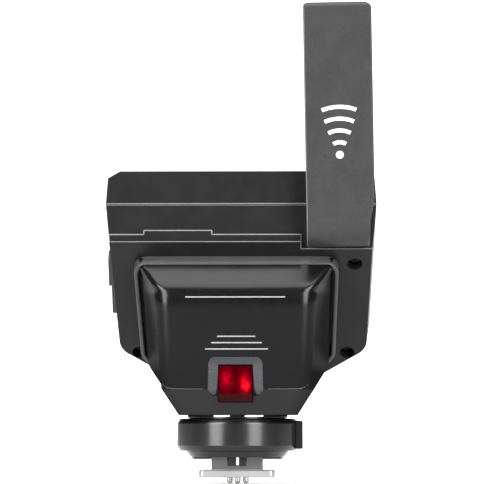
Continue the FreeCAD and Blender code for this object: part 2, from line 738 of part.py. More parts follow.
def make_hinge_shaft():
    flange = bar_rod(HINGE_FLANGE, 0, 0, BAR_SPLIT - 1.9, BAR_SPLIT)
    shaft = bar_rod(HINGE_RADIUS, 0, 0, BAR_SPLIT - 0.1, HINGE_SHOULDER)
    stub = bar_rod(HINGE_STUB, 0, 0, HINGE_SHOULDER - 0.1, HINGE_END)
    cable_hole = bar_rod(1.1, 0, 0, BAR_SPLIT - 3, HINGE_END + 1)
    return at_pivot(joined([flange, shaft, stub]).cut(cable_hole))


def make_hinge_washer():
    end = HINGE_SHOULDER + HINGE_WASHER_THICK
    washer = bar_rod(4.4, 0, 0, HINGE_SHOULDER, end)
    return at_pivot(washer.cut(bar_rod(HINGE_STUB, 0, 0, HINGE_SHOULDER - 1, end + 1)))


def make_hinge_nut():
    start = HINGE_SHOULDER + HINGE_WASHER_THICK
    corners = []
    for index in range(6):
        angle = math.radians(60 * index)
        corners.append((4.2 * math.cos(angle), start, 4.2 * math.sin(angle)))
    nut = prism(corners, Vector(0, HINGE_NUT_THICK, 0))
    return at_pivot(nut.cut(bar_rod(HINGE_STUB, 0, 0, start - 1, start + 4)))


def make_hinge_spacer():
    start = BAR_BACK + 0.05
    ring = hinge_disc(HINGE_BOSS - 0.4, start, RECESS_FLOOR_Y)
    return ring.cut(hinge_disc(HINGE_RADIUS + HINGE_FIT, start - 1, RECESS_FLOOR_Y + 1))


# ---------------------------------------------------------------- pedestal pieces
def make_collar():
    """The frame on the head's underside that the pedestal stands in."""
    right = [COLLAR_TOP, COLLAR_LOW, COLLAR_FOOT]
    outline = right + [(-x, down) for x, down in reversed(right)]
    points = [(x - HEAD_CENTRE_X, down, -HEAD_THICK) for x, down in outline]
    frame = prism(points, Vector(0, 0, -COLLAR_HEIGHT))
    frame = rounded(frame, RIM_CORNER + RIM_INSET,
                    lambda middle, edge: middle.y < 20 and run_along_z(middle, edge))
    frame = rounded(frame, COLLAR_FOOT_CORNER,
                    lambda middle, edge: middle.y > 20 and run_along_z(middle, edge))
    frame = in_head(frame)
    return frame.cut(pedestal(-MODULE_GROOVE, 3.0))


def lamp_pocket(grow):
    pocket = box(-LAMP_HALF - grow, LAMP_HALF + grow, -30, LAMP_POCKET_BACK,
                 LAMP_BOTTOM - grow, LAMP_TOP + grow)
    return rounded(pocket, 1.6, run_along_y)


def make_housing():
    """The pedestal's wall, open to the head above and to its base plate below."""
    inside = pedestal(MODULE_WALL, 6.0)
    return pedestal(0).cut(inside).cut(lamp_pocket(0.05))


def make_base():
    """The plate inside the pedestal's foot, with the boss the lock ring's washer bears on."""
    plate = pedestal(MODULE_WALL + BASE_PLATE_FIT)
    plate = plate.common(box(-60, 60, -60, 60, MODULE_BOTTOM, MODULE_BOTTOM + BASE_PLATE_THICK))
    boss = rod(WASHER_RADIUS, (0, 0, BOSS_BOTTOM), UP, MODULE_BOTTOM - BOSS_BOTTOM)
    for x0, x1 in BOSS_GROOVES:
        boss = boss.cut(box(x0, x1, -20, 20, BOSS_BOTTOM - 1, MODULE_BOTTOM))
    return joined([plate, boss])


def make_lamp_bezel():
    liner = lamp_pocket(0)
    liner = liner.common(pedestal(0.15))
    funnel = prism([(-LAMP_HALF + 0.5, -20.5, 0), (LAMP_HALF - 0.5, -20.5, 0),
                    (LENS_HALF + 0.2, -16.4, 0), (-LENS_HALF - 0.2, -16.4, 0)], Vector(0, 0, LAMP_TOP - 0.7))
    slot = box(-LENS_HALF - 0.1, LENS_HALF + 0.1, -30, 0, 0, LENS_TOP + 0.15)
    return liner.cut(funnel).cut(slot)


def make_lens():
    block = box(-LENS_HALF, LENS_HALF, -30, LAMP_POCKET_BACK - 0.05, LAMP_BOTTOM + 0.1, LENS_TOP)
    block = block.common(pedestal(0.1))
    return rounded(block, 0.5, lambda middle, edge: middle.y < -16 and abs(middle.x) > 3.9)


def make_lamp_led():
    start = -12.2
    ball = Part.makeSphere(1.5, Vector(0, start, LAMP_LED_Z))
    dome = ball.common(box(-3, 3, start - 3, start, 20, 28))
    return joined([dome, rod(1.5, (0, start, LAMP_LED_Z), Vector(0, 1, 0), 2)])


def make_lamp_board():
    return box(-7, 7, -10.2, -9.0, 20, 30)


# ---------------------------------------------------------------- shoe and ring
def make_lock_ring():
    ring = revolved([(RING_BORE, RING_BOTTOM), (14.18, RING_BOTTOM), (14.83, 7.7), (RING_RADIUS, 13.39),
                     (14.41, RING_TOP), (RING_BORE, RING_TOP)])
    tab = box(13.4, 16.19, -4.2, 4.2, 7.03, 13.99)
    tab = rounded(tab, 0.5, lambda middle, edge: middle.x > 16)
    return joined([ring, tab])


def make_shoe_base():
    post = RING_BORE - RING_FIT
    ledge = RING_BOTTOM - 0.1
    base = revolved([(0, BASE_BOTTOM), (11.49, BASE_BOTTOM), (12.75, ledge), (post, ledge),
                     (post, WASHER_BOTTOM), (SPIGOT_RADIUS, WASHER_BOTTOM),
                     (SPIGOT_RADIUS, BOSS_BOTTOM), (0, BOSS_BOTTOM)])
    nub_zone = tube(11.3, 7.3, (0, 0, NUB_BOTTOM), UP, 1)
    nubs = nub_zone.common(box(-20, 20, -3.6, 3.6, 0, 20))
    base = joined([base, nubs])
    base = base.cut(box(-NECK_WIDTH / 2 - 0.05, NECK_WIDTH / 2 + 0.05, -NECK_DEPTH / 2 - 0.05,
                        NECK_DEPTH / 2 + 0.05, 0, NECK_TOP + 0.05))
    base = base.cut(lock_pin_bore())
    for x, y in SHOE_SCREWS:
        base = base.cut(rod(SHOE_SCREW_RADIUS + SHOE_SCREW_FIT, (x, y, 0), UP, 11))
    return base


def lock_pin_bore():
    return rod(LOCK_PIN_RADIUS + LOCK_PIN_FIT, (LOCK_PIN_X, 0, -1), UP, LOCK_PIN_POCKET + 1)


def make_foot():
    plate = box(-FOOT_WIDTH / 2, FOOT_WIDTH / 2, -FOOT_DEPTH / 2, FOOT_DEPTH / 2, 0, FOOT_THICK)
    plate = rounded(plate, 1.2, run_along_z)
    plate = rounded(plate, 0.35, lambda middle, edge: middle.z < 0.01 or middle.z > FOOT_THICK - 0.01)
    neck = box(-NECK_WIDTH / 2, NECK_WIDTH / 2, -NECK_DEPTH / 2, NECK_DEPTH / 2, 0, NECK_TOP)
    neck = neck.cut(box(-PILLAR_OUTER - 0.05, PILLAR_OUTER + 0.05, -20, 20, BRIDGE_TOP, 20))
    foot = joined([plate, neck])
    foot = foot.cut(box(-3.45, 3.45, -1.7, 5.2, -1, BRIDGE_TOP + 1))
    foot = foot.cut(lock_pin_bore())
    for x, y in SHOE_SCREWS:
        foot = foot.cut(rod(SHOE_SCREW_RADIUS + SHOE_SCREW_FIT, (x, y, -1), UP, 10))
        foot = foot.cut(rod(SHOE_SCREW_HEAD + 0.1, (x, y, -1), UP, 1.9))
    return foot


def make_shoe_screws():
    screws = []
    for x, y in SHOE_SCREWS:
        head = rod(SHOE_SCREW_HEAD, (x, y, 0.1), UP, 0.8)
        shank = rod(SHOE_SCREW_RADIUS, (x, y, 0.5), UP, 9)
        slot = box(x - 0.9, x + 0.9, y - 0.15, y + 0.15, 0, 0.45)
        screws.append(joined([head, shank]).cut(slot))
    return Part.makeCompound(screws)


def make_contact_block():
    lower = box(-3.4, 3.4, -1.65, 5.15, 0.02, BRIDGE_TOP + 0.4)
    pillars = box(-PILLAR_OUTER, PILLAR_OUTER, -5.45, 5.45, BRIDGE_TOP + 0.02, NECK_TOP)
    block = joined([lower, pillars])
    block = block.cut(box(-SLOT_HALF, SLOT_HALF, -20, 20, BRIDGE_TOP + 0.02, BASE_BOTTOM))
    for x, y in PIN_PLACES:
        block = block.cut(rod(PIN_RADIUS + PIN_BORE_CLEARANCE, (x, y, -1), UP, 1 + SPRING_TOP))
    return block


def make_contact_pin(place):
    x, y = place
    profile = [(0, -PIN_REACH), (0.2, -PIN_REACH), (0.55, -1.45), (PIN_RADIUS, -0.95), (PIN_RADIUS, PIN_HEEL),
               (0, PIN_HEEL)]
    pin = revolved(profile)
    pin.translate(Vector(x, y, 0))
    return pin


def make_contact_spring(place):
    """The outer shape of the small coil behind a contact pin."""
    return tube(0.7, 0.45, (place[0], place[1], PIN_HEEL), UP, SPRING_TOP - PIN_HEEL)


def make_locking_pin():
    low, high = LOCK_PIN_SPAN
    pin = rod(LOCK_PIN_RADIUS, (LOCK_PIN_X, 0, low), UP, high - low)
    return rounded(pin, 0.3, lambda middle, edge: middle.z < low + 0.1)


# ---------------------------------------------------------------- all pieces
def all_pieces():
    front_shell, rear_shell = make_head_shells()
    bar_front, bar_back, bar_screws = make_bar_covers()
    pieces = {
        "front_shell": front_shell,
        "screen_shell": rear_shell,
        "pedestal_collar": make_collar(),
        "pedestal_housing": make_housing(),
        "pedestal_base": make_base(),
        "lamp_bezel": make_lamp_bezel(),
        "lamp_lens": make_lens(),
        "lamp_led": make_lamp_led(),
        "lamp_board": make_lamp_board(),
        "touch_glass": make_glass(),
        "glass_gasket": make_gasket(),
        "display_panel": make_display(),
        "main_board": make_board(),
        "radio_shield": make_radio_shield(),
        "battery_cell": make_battery(),
        "buzzer": make_buzzer(),
        "usb_c_socket": make_usb_socket(),
        "sync_jack": make_sync_jack(),
        "enclosure_screws": make_enclosure_screws(),
        "dial_encoder": make_encoder(),
        "dial_knob": make_dial(),
        "set_button": make_set_button(),
        "rear_key_switches": make_rear_switches(),
        "power_key": make_side_key(0),
        "lamp_key": make_side_key(1),
        "side_key_switches": make_side_switches(),
        "aerial_front_cover": bar_front,
        "aerial_back_cover": bar_back,
        "aerial_cover_screws": bar_screws,
        "aerial_element": make_aerial_element(),
        "hinge_shaft": make_hinge_shaft(),
        "hinge_spacer": make_hinge_spacer(),
        "hinge_washer": make_hinge_washer(),
        "hinge_nut": make_hinge_nut(),
        "lock_ring": make_lock_ring(),
        "ring_washer": tube(WASHER_RADIUS, SPIGOT_RADIUS + 0.05, (0, 0, WASHER_BOTTOM), UP,
                            BOSS_BOTTOM - WASHER_BOTTOM),
        "shoe_base": make_shoe_base(),
        "shoe_foot": make_foot(),
        "shoe_screws": make_shoe_screws(),
        "contact_block": make_contact_block(),
        "locking_pin": make_locking_pin(),
    }
    for number, place in enumerate(REAR_KEYS, start=1):
        pieces["rear_key_%d" % number] = make_rear_key(place)
    for number, place in enumerate(PIN_PLACES, start=1):
        pieces["contact_pin_%d" % number] = make_contact_pin(place)
        pieces["contact_spring_%d" % number] = make_contact_spring(place)
    return pieces


os.makedirs("parts", exist_ok=True)
for name, shape in all_pieces().items():
    shape.exportStep("parts/" + name + ".step")
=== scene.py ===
import json
import math

import bmesh
import bpy
from mathutils import Matrix, Vector


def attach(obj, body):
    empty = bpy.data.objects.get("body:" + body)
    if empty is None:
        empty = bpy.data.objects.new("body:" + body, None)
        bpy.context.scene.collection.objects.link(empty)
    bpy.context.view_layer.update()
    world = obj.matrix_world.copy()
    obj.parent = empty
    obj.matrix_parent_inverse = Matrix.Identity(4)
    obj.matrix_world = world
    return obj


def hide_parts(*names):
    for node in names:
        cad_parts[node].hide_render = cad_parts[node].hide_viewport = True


# Looks of a wireless flash trigger. Lengths are in millimetres and turned into metres by MM.
MM = 0.001

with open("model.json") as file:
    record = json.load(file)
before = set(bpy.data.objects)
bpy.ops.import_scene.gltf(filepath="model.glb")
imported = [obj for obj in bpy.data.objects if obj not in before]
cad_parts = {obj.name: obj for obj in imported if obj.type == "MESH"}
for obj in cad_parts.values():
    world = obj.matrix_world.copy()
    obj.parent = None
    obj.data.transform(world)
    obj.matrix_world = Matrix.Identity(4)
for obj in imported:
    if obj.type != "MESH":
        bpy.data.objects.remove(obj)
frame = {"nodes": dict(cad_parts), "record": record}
NODES = frame["nodes"]
RECORD = frame["record"]
SLOT_OF = {part["node"]: part["material_slot"] for part in RECORD["subparts"]}
BODY_OF = {node: body for body, members in RECORD["behaviour"]["bodies"].items() for node in members}
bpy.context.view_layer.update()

# ---------------------------------------------------------------- shape values shared with the CAD
HEAD_ORIGIN = Vector((1.2, -5.0, 75.5))
HEAD_TILT = Matrix.Rotation(math.radians(-50), 4, "X")
HEAD = Matrix.Translation(HEAD_ORIGIN) @ HEAD_TILT
HEAD_THICK = 18.4
MODULE_BOTTOM = 15.35

# The pedestal's front, as (Y, Z) points from its foot upwards.
SKIRT_LOW = (-14.5, MODULE_BOTTOM)
CREASE = (-18.5, 21.8)
FACE_TOP = (-20.0, 45.7)
SLOPE_TOP = (-13.6, 52.1)

# Half widths of the pedestal's front at those points, and of its widest part.
HALF_AT_FOOT = 14.1
HALF_AT_CREASE = 18.2
HALF_AT_FACE_TOP = 18.9
HALF_AT_SLOPE_TOP = 23.1
SIDE_AT_FOOT = 14.75
SIDE_SPREAD = 0.632
RIM_HALF_LOW = (22.75, 29.75)
RIM_HALF_HIGH = (23.85, 52.1)
RIM_SLOPE = 0.839
REAR_AT_FOOT = 13.3
REAR_SPREAD = 0.55
CORNER_RUN = 3.2
CORNER_RUN_ON_SLOPE = 1.8
CORNER_RUN_AT_RIM = 2.4

PIVOT = Vector((25.2, 0, 66.0))
LEAN = math.radians(0.95)
UPRIGHT = Matrix.Translation(PIVOT) @ Matrix.Rotation(-LEAN, 4, "Y")


# ---------------------------------------------------------------- materials
def new_material(name):
    """An empty node material: the material, its tree and its shader."""
    material = bpy.data.materials.new(name)
    material.use_nodes = True
    tree = material.node_tree
    tree.nodes.clear()
    output = tree.nodes.new("ShaderNodeOutputMaterial")
    shader = tree.nodes.new("ShaderNodeBsdfPrincipled")
    tree.links.new(shader.outputs[0], output.inputs[0])
    return material, tree, shader


def noise(tree, scale, detail=3.0, roughness=0.55, stretch=None):
    """A noise texture in the part's own millimetres; the scale is features per millimetre."""
    coordinates = tree.nodes.new("ShaderNodeTexCoord")
    mapping = tree.nodes.new("ShaderNodeMapping")
    factor = 1000.0 * scale
    spread = stretch or (1, 1, 1)
    mapping.inputs["Scale"].default_value = (factor * spread[0], factor * spread[1], factor * spread[2])
    texture = tree.nodes.new("ShaderNodeTexNoise")
    texture.inputs["Scale"].default_value = 1.0
    texture.inputs["Detail"].default_value = detail
    texture.inputs["Roughness"].default_value = roughness
    tree.links.new(coordinates.outputs["Object"], mapping.inputs["Vector"])
    tree.links.new(mapping.outputs["Vector"], texture.inputs["Vector"])
    return texture.outputs["Fac"]


def spread_to(tree, value, low, high, start=0.3, end=0.7):
    """Maps the values from start to end onto the range from low to high, without going past it."""
    node = tree.nodes.new("ShaderNodeMapRange")
    node.inputs["From Min"].default_value = start
    node.inputs["From Max"].default_value = end
    node.inputs["To Min"].default_value = low
    node.inputs["To Max"].default_value = high
    tree.links.new(value, node.inputs["Value"])
    return node.outputs["Result"]


def own_coordinates(tree):
    """The X, Y and Z of a place in the part's own metres."""
    coordinates = tree.nodes.new("ShaderNodeTexCoord")
    parts = tree.nodes.new("ShaderNodeSeparateXYZ")
    tree.links.new(coordinates.outputs["Object"], parts.inputs[0])
    return parts.outputs


def height_of(tree):
    """The height of a place in the part's own metres."""
    return own_coordinates(tree)["Z"]


def mixed_colour(tree, value, dark, light):
    """A colour between two, by a noise value."""
    ramp = tree.nodes.new("ShaderNodeValToRGB")
    ramp.color_ramp.elements[0].position = 0.3
    ramp.color_ramp.elements[0].color = (*dark, 1)
    ramp.color_ramp.elements[1].position = 0.7
    ramp.color_ramp.elements[1].color = (*light, 1)
    tree.links.new(value, ramp.inputs["Fac"])
    return ramp.outputs["Color"]


def bump(tree, shader, value, depth, edge=0.0):
    """Surface relief of a depth in millimetres, over edges softened by a radius in millimetres."""
    node = tree.nodes.new("ShaderNodeBump")
    node.inputs["Strength"].default_value = 1.0
    node.inputs["Distance"].default_value = depth * MM
    tree.links.new(value, node.inputs["Height"])
    if edge:
        soft = tree.nodes.new("ShaderNodeBevel")
        soft.samples = 4
        soft.inputs["Radius"].default_value = edge * MM
        tree.links.new(soft.outputs["Normal"], node.inputs["Normal"])
    tree.links.new(node.outputs["Normal"], shader.inputs["Normal"])


def surface(name, colour, vary, roughness, grain, depth, metal=0.0, coat=0.0, specular=0.5, edge=0.0,
            stretch=None, painted_shade_above=None):
    """A moulded or machined surface, with blotches and speckle in its colour and grain as relief.

    The colour varies by the share vary, the roughness within its pair of values. The grain is given in
    features per millimetre and its depth in millimetres. Above the height painted_shade_above, in
    millimetres, the colour is dimmed by painted shade."""
    material, tree, shader = new_material(name)
    blotches = noise(tree, 0.11, 4.0, 0.6)
    dark = [channel * (1 - vary) for channel in colour]
    light = [channel * (1 + vary) for channel in colour]
    speckle = noise(tree, grain * 0.8, 2.0, 0.7, stretch)
    blend = tree.nodes.new("ShaderNodeMix")
    blend.data_type = "FLOAT"
    blend.inputs[0].default_value = 0.55
    tree.links.new(blotches, blend.inputs[2])
    tree.links.new(speckle, blend.inputs[3])
    tint = mixed_colour(tree, blend.outputs[0], dark, light)
    if painted_shade_above:
        tint = shade_painted_above(tree, tint, painted_shade_above)
    tree.links.new(tint, shader.inputs["Base Color"])
    rubbed = noise(tree, 0.3, 5.0, 0.65)
    tree.links.new(spread_to(tree, rubbed, *roughness), shader.inputs["Roughness"])
    shader.inputs["Metallic"].default_value = metal
    shader.inputs["Coat Weight"].default_value = coat
    shader.inputs["Coat Roughness"].default_value = 0.12
    shader.inputs["Specular IOR Level"].default_value = specular
    bump(tree, shader, noise(tree, grain, 3.0, 0.6, stretch), depth, edge)
    return material


def shade_painted_above(tree, tint, height):
    """The tint, dimmed above a height in millimetres: painted shade."""
    share = spread_to(tree, height_of(tree), 0.0, 1.0, height * MM, (height + 0.3) * MM)
    mixer = tree.nodes.new("ShaderNodeMix")
    mixer.data_type = "RGBA"
    mixer.blend_type = "MULTIPLY"
    tree.links.new(share, mixer.inputs["Factor"])
    tree.links.new(tint, mixer.inputs["A"])
    mixer.inputs["B"].default_value = (0.40, 0.40, 0.41, 1)
    return mixer.outputs["Result"]


def shader_of(material):
    """The shader that new_material() made."""
    return next(node for node in material.node_tree.nodes if node.type == "BSDF_PRINCIPLED")


SHEEN = 0.6


def sheen_fades(material, low, high):
    """Gives the sheen to a clear skin, which thins from the height high to none at low, in millimetres."""
    tree, shader = material.node_tree, shader_of(material)
    share = spread_to(tree, height_of(tree), 0.0, SHEEN, low * MM, high * MM)
    tree.links.new(share, shader.inputs["Coat Weight"])
    tree.links.new(shader.inputs["Roughness"].links[0].from_socket, shader.inputs["Coat Roughness"])
    tree.links.new(shader.inputs["Normal"].links[0].from_socket, shader.inputs["Coat Normal"])
    shader.inputs["Specular IOR Level"].default_value = 0.0


def painted_light_below(material, low, high, grey):
    """Adds grey to the colour below a height in millimetres, coming in from high to low: painted light."""
    tree, shader = material.node_tree, shader_of(material)
    mixer = tree.nodes.new("ShaderNodeMix")
    mixer.data_type = "RGBA"
    mixer.blend_type = "ADD"
    tree.links.new(spread_to(tree, height_of(tree), 1.0, 0.0, low * MM, high * MM), mixer.inputs["Factor"])
    tree.links.new(shader.inputs["Base Color"].links[0].from_socket, mixer.inputs["A"])
    mixer.inputs["B"].default_value = (grey, grey, grey * 1.01, 1)
    tree.links.new(mixer.outputs["Result"], shader.inputs["Base Color"])


LENS_BEND = 20.4


def lens_material():
    """Red filter glass over a reflector, with painted light: reflections bright at both sides, dark at the
    middle and the foot, and a faint painted glow.
    """
    material, tree, shader = new_material("lens_red")
    across, _, height = own_coordinates(tree)

    def formula(operation, *values):
        """A calculation with node outputs and numbers; the operation is the node's own name for it."""
        node = tree.nodes.new("ShaderNodeMath")
        node.operation = operation
        for index, value in enumerate(values):
            if isinstance(value, (int, float)):
                node.inputs[index].default_value = value
            else:
                tree.links.new(value, node.inputs[index])
        return node.outputs[0]

    def hump(axis, centre, width):
        """A smooth bump along an axis, with its centre and width in millimetres."""
        away = formula("DIVIDE", formula("SUBTRACT", axis, centre * MM), width * MM)
        return formula("EXPONENT", formula("MULTIPLY", formula("MULTIPLY", away, away), -1.0))

    # Painted reflections of the reflector at both sides and a painted glint, made ragged by noise.
    left = formula("MULTIPLY", hump(across, -2.2, 1.5), hump(height, 24.2, 2.6))
    right = formula("MULTIPLY", hump(across, 2.3, 1.35), hump(height, 23.3, 2.5))
    painted_glint = formula("MULTIPLY", hump(across, 2.6, 0.8), hump(height, 22.4, 1.2))
    ragged = noise(tree, 0.75, 4.0, 0.75)
    glow = formula("ADD", formula("MULTIPLY", left, 0.75), right)
    glow = formula("ADD", glow, formula("MULTIPLY", painted_glint, 0.7))
    glow = formula("MULTIPLY", glow, spread_to(tree, ragged, 0.30, 1.0))
    # Only a trace of the painted light is kept below the bend, on the foot.
    above_bend = formula("GREATER_THAN", height, LENS_BEND * MM)
    glow = formula("MULTIPLY", glow, formula("MULTIPLY_ADD", above_bend, 0.96, 0.04))
    ramp = tree.nodes.new("ShaderNodeValToRGB")
    darkest, brightest = ramp.color_ramp.elements
    darkest.color = (0.022, 0.0, 0.001, 1)
    brightest.color = (0.72, 0.005, 0.010, 1)
    for position, colour in [(0.3, (0.10, 0.0, 0.003)), (0.7, (0.36, 0.0012, 0.005))]:
        ramp.color_ramp.elements.new(position).color = (*colour, 1)
    tree.links.new(glow, ramp.inputs["Fac"])
    tree.links.new(ramp.outputs["Color"], shader.inputs["Base Color"])
    # The same colours glow faintly: a painted glow.
    tree.links.new(ramp.outputs["Color"], shader.inputs["Emission Color"])
    shader.inputs["Emission Strength"].default_value = 0.35
    tree.links.new(spread_to(tree, ragged, 0.05, 0.16), shader.inputs["Roughness"])
    shader.inputs["Specular IOR Level"].default_value = 0.1
    bump(tree, shader, noise(tree, 1.1, 2.0), 0.012)
    return material


def glass_material(name, colour, streak):
    """Polished black glass with faint wipe marks."""
    material, tree, shader = new_material(name)
    marks = noise(tree, 0.06, 5.0, 0.6, (1, 2.5, 2.5))
    tree.links.new(mixed_colour(tree, marks, colour, [c * 1.5 for c in colour]), shader.inputs["Base Color"])
    tree.links.new(spread_to(tree, marks, 0.04, 0.04 + streak), shader.inputs["Roughness"])
    shader.inputs["Coat Weight"].default_value = 1.0
    shader.inputs["Coat Roughness"].default_value = 0.03
    bump(tree, shader, noise(tree, 0.05, 1.0), 0.004)
    return material


# Columns: name, colour, how much it varies, roughness, grain per millimetre, depth of the grain.
MATERIALS = {
    "shell_black": surface("shell", (0.009, 0.009, 0.0093), 0.16, (0.30, 0.38), 3.2, 0.007, specular=0.28),
    "pedestal_black": surface("pedestal", (0.0045, 0.0045, 0.0047), 0.14, (0.20, 0.25), 3.6, 0.004),
    "ring_black": surface("ring", (0.005, 0.005, 0.0052), 0.10, (0.20, 0.25), 3.0, 0.002, specular=0.62),
    "aerial_black": surface("aerial", (0.032, 0.032, 0.033), 0.22, (0.34, 0.44), 2.6, 0.014,
                            specular=0.3),
    "lamp_bezel_gloss": surface("bezel", (0.020, 0.020, 0.026), 0.10, (0.16, 0.24), 2.2, 0.004, coat=0.5),
    "lamp_red": lens_material(),
    "led_clear": surface("led", (0.75, 0.73, 0.66), 0.05, (0.08, 0.16), 2.0, 0.003, coat=0.5),
    "circuit_board": surface("board", (0.02, 0.12, 0.06), 0.25, (0.35, 0.5), 1.4, 0.01),
    "cover_glass": glass_material("glass", (0.004, 0.004, 0.005), 0.05),
    "gasket_rubber": surface("gasket", (0.015, 0.015, 0.015), 0.2, (0.7, 0.85), 3.0, 0.02),
    "display_dark": glass_material("display", (0.012, 0.012, 0.016), 0.1),
    "shield_tin": surface("tin", (0.55, 0.55, 0.56), 0.08, (0.28, 0.42), 2.0, 0.004, metal=1.0, edge=0.08,
                          stretch=(0.2, 1, 1)),
    "cell_foil": surface("foil", (0.5, 0.51, 0.53), 0.08, (0.35, 0.5), 0.9, 0.02, metal=1.0),
    "part_black": surface("part", (0.018, 0.018, 0.018), 0.15, (0.4, 0.55), 3.0, 0.01, edge=0.06),
    "socket_steel": surface("socket", (0.5, 0.5, 0.51), 0.08, (0.25, 0.38), 2.4, 0.004, metal=1.0,
                            edge=0.06),
    "jack_black": surface("jack", (0.02, 0.02, 0.02), 0.15, (0.35, 0.5), 3.0, 0.008, edge=0.06),
    "screw_black": surface("screw", (0.06, 0.06, 0.062), 0.2, (0.3, 0.45), 2.4, 0.006, metal=0.7,
                           edge=0.06),
    "key_grey": surface("key", (0.042, 0.042, 0.043), 0.14, (0.55, 0.68), 3.4, 0.014, edge=0.14),
    "dial_black": surface("dial", (0.026, 0.026, 0.027), 0.14, (0.36, 0.48), 3.4, 0.01, edge=0.08),
    # The foot's neck, above 1.85 mm, is dimmed by painted shade, as under the cone above it.
    "foot_steel": surface("foot", (0.45, 0.45, 0.45), 0.07, (0.26, 0.36), 1.8, 0.006, metal=0.62,
                          stretch=(0.15, 1, 1), painted_shade_above=1.85),
    "pin_steel": surface("pin", (0.66, 0.65, 0.62), 0.08, (0.18, 0.28), 2.6, 0.003, metal=1.0),
    "spring_steel": surface("spring", (0.45, 0.45, 0.45), 0.1, (0.25, 0.4), 2.6, 0.004, metal=1.0),
    "hinge_steel": surface("hinge", (0.46, 0.46, 0.46), 0.1, (0.25, 0.38), 2.2, 0.004, metal=1.0, edge=0.08),
}
# The pedestal is shiny on its slope and duller towards its foot. Painted light makes it greyer towards its
# foot and greyest on its skirt.
sheen_fades(MATERIALS["pedestal_black"], 26.0, 46.0)
painted_light_below(MATERIALS["pedestal_black"], 27.0, 46.0, 0.007)
painted_light_below(MATERIALS["pedestal_black"], 21.4, 21.9, 0.016)

# Materials of single pieces and of edges, in place of their slot's own. All but the print are paler as
# painted light: highlights on edges and lines, and light on the collar.
PRINT_WHITE = surface("print", (0.74, 0.73, 0.71), 0.05, (0.5, 0.62), 2.6, 0.006)
# Painted edge highlight on the shells' front lips.
PAINTED_EDGE_HIGHLIGHT = surface("painted_edge_highlight", (0.17, 0.17, 0.172), 0.25, (0.30, 0.40), 2.6, 0.004)
# Painted highlight on the aerial's rounded left edge.
AERIAL_PAINTED_HIGHLIGHT = surface("aerial_painted_highlight", (0.11, 0.11, 0.112), 0.2, (0.34, 0.44), 2.6, 0.008)
# Painted light: the collar is paler than the pedestal to stand in for light that the head above keeps off
# it.
COLLAR_PAINTED_LIGHT = surface("collar", (0.045, 0.045, 0.046), 0.12, (0.36, 0.44), 3.4, 0.005)
# Painted highlight on the crease line.
CREASE_PAINTED_HIGHLIGHT = surface("crease", (0.07, 0.07, 0.071), 0.12, (0.30, 0.38), 3.4, 0.003)
# Painted highlight on the raised ribs.
RIB_PAINTED_HIGHLIGHT = surface("rib_painted_highlight", (0.33, 0.33, 0.33), 0.10, (0.34, 0.46), 2.6, 0.006, edge=0.08)


# ---------------------------------------------------------------- mesh helpers
WELD_CAD = 0.003
WELD_OWN = 1e-5
FLAT_ANGLE = math.radians(0.7)
SHARP_ANGLE = math.radians(28)


def place(name, mesh, slot, body, replaced=(), smooth=30, material=None, weighted=True):
    """Turns a mesh in metres into a shown piece that rides on a body."""
    for polygon in mesh.polygons:
        polygon.use_smooth = True
    mesh.set_sharp_from_angle(angle=math.radians(smooth))
    piece = bpy.data.objects.new(name, mesh)
    bpy.context.scene.collection.objects.link(piece)
    mesh.materials.append(material or MATERIALS[slot])
    if weighted:
        normals = piece.modifiers.new("even_normals", "WEIGHTED_NORMAL")
        normals.keep_sharp = True
    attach(piece, body)
    if replaced:
        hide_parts(*replaced)


def mesh_from(bm, name, scale=MM):
    """Turns a mesh under construction into a finished one; the scale takes millimetres to metres."""
    bmesh.ops.scale(bm, vec=(scale,) * 3, verts=bm.verts)
    bmesh.ops.recalc_face_normals(bm, faces=bm.faces)
    mesh = bpy.data.meshes.new(name)
    bm.to_mesh(mesh)
    bm.free()
    return mesh


def settled(mesh, modifiers):
    """The mesh with modifiers applied; each is (type, {setting: value})."""
    carrier = bpy.data.objects.new("carrier", mesh)
    bpy.context.scene.collection.objects.link(carrier)
    for kind, settings in modifiers:
        modifier = carrier.modifiers.new(kind, kind)
        for setting, value in settings.items():
            setattr(modifier, setting, value)
    bpy.context.view_layer.update()
    graph = bpy.context.evaluated_depsgraph_get()
    result = bpy.data.meshes.new_from_object(carrier.evaluated_get(graph))
    bpy.data.objects.remove(carrier)
    return result


def cut_by(mesh, tools):
    """The mesh with other meshes cut out of it."""
    for tool in tools:
        cutter = bpy.data.objects.new("cutter", tool)
        bpy.context.scene.collection.objects.link(cutter)
        settings = {"operation": "DIFFERENCE", "solver": "EXACT", "object": cutter}
        mesh = settled(mesh, [("BOOLEAN", settings)])
        bpy.data.objects.remove(cutter)
    return mesh


def softened(node, radius, pale=None):
    """A finer copy of a CAD node: flat faces merged and the sharp edges rounded.

    Rounded edges that the test named pale picks out by their middle get a paler material, a painted edge
    highlight."""
    bm = bmesh.new()
    bm.from_mesh(NODES[node].data)
    bmesh.ops.scale(bm, vec=(1 / MM,) * 3, verts=bm.verts)
    bmesh.ops.remove_doubles(bm, verts=bm.verts, dist=WELD_CAD)
    bmesh.ops.dissolve_limit(bm, angle_limit=FLAT_ANGLE, verts=bm.verts, edges=bm.edges)
    if radius:
        edges = [edge for edge in bm.edges
                 if len(edge.link_faces) == 2 and edge.calc_face_angle(0) > SHARP_ANGLE]
        bmesh.ops.bevel(bm, geom=edges, offset=radius, offset_type="OFFSET", segments=2, profile=0.5,
                        affect="EDGES", clamp_overlap=False, miter_outer="ARC", loop_slide=True,
                        material=1 if pale else -1)
    if pale:
        for face in bm.faces:
            if face.material_index == 1 and not pale(face.calc_center_median()):
                face.material_index = 0
    mesh = mesh_from(bm, node + "_soft")
    place(node + "_skin", mesh, SLOT_OF[node], BODY_OF[node], (node,))
    if pale:
        mesh.materials.append(PAINTED_EDGE_HIGHLIGHT)


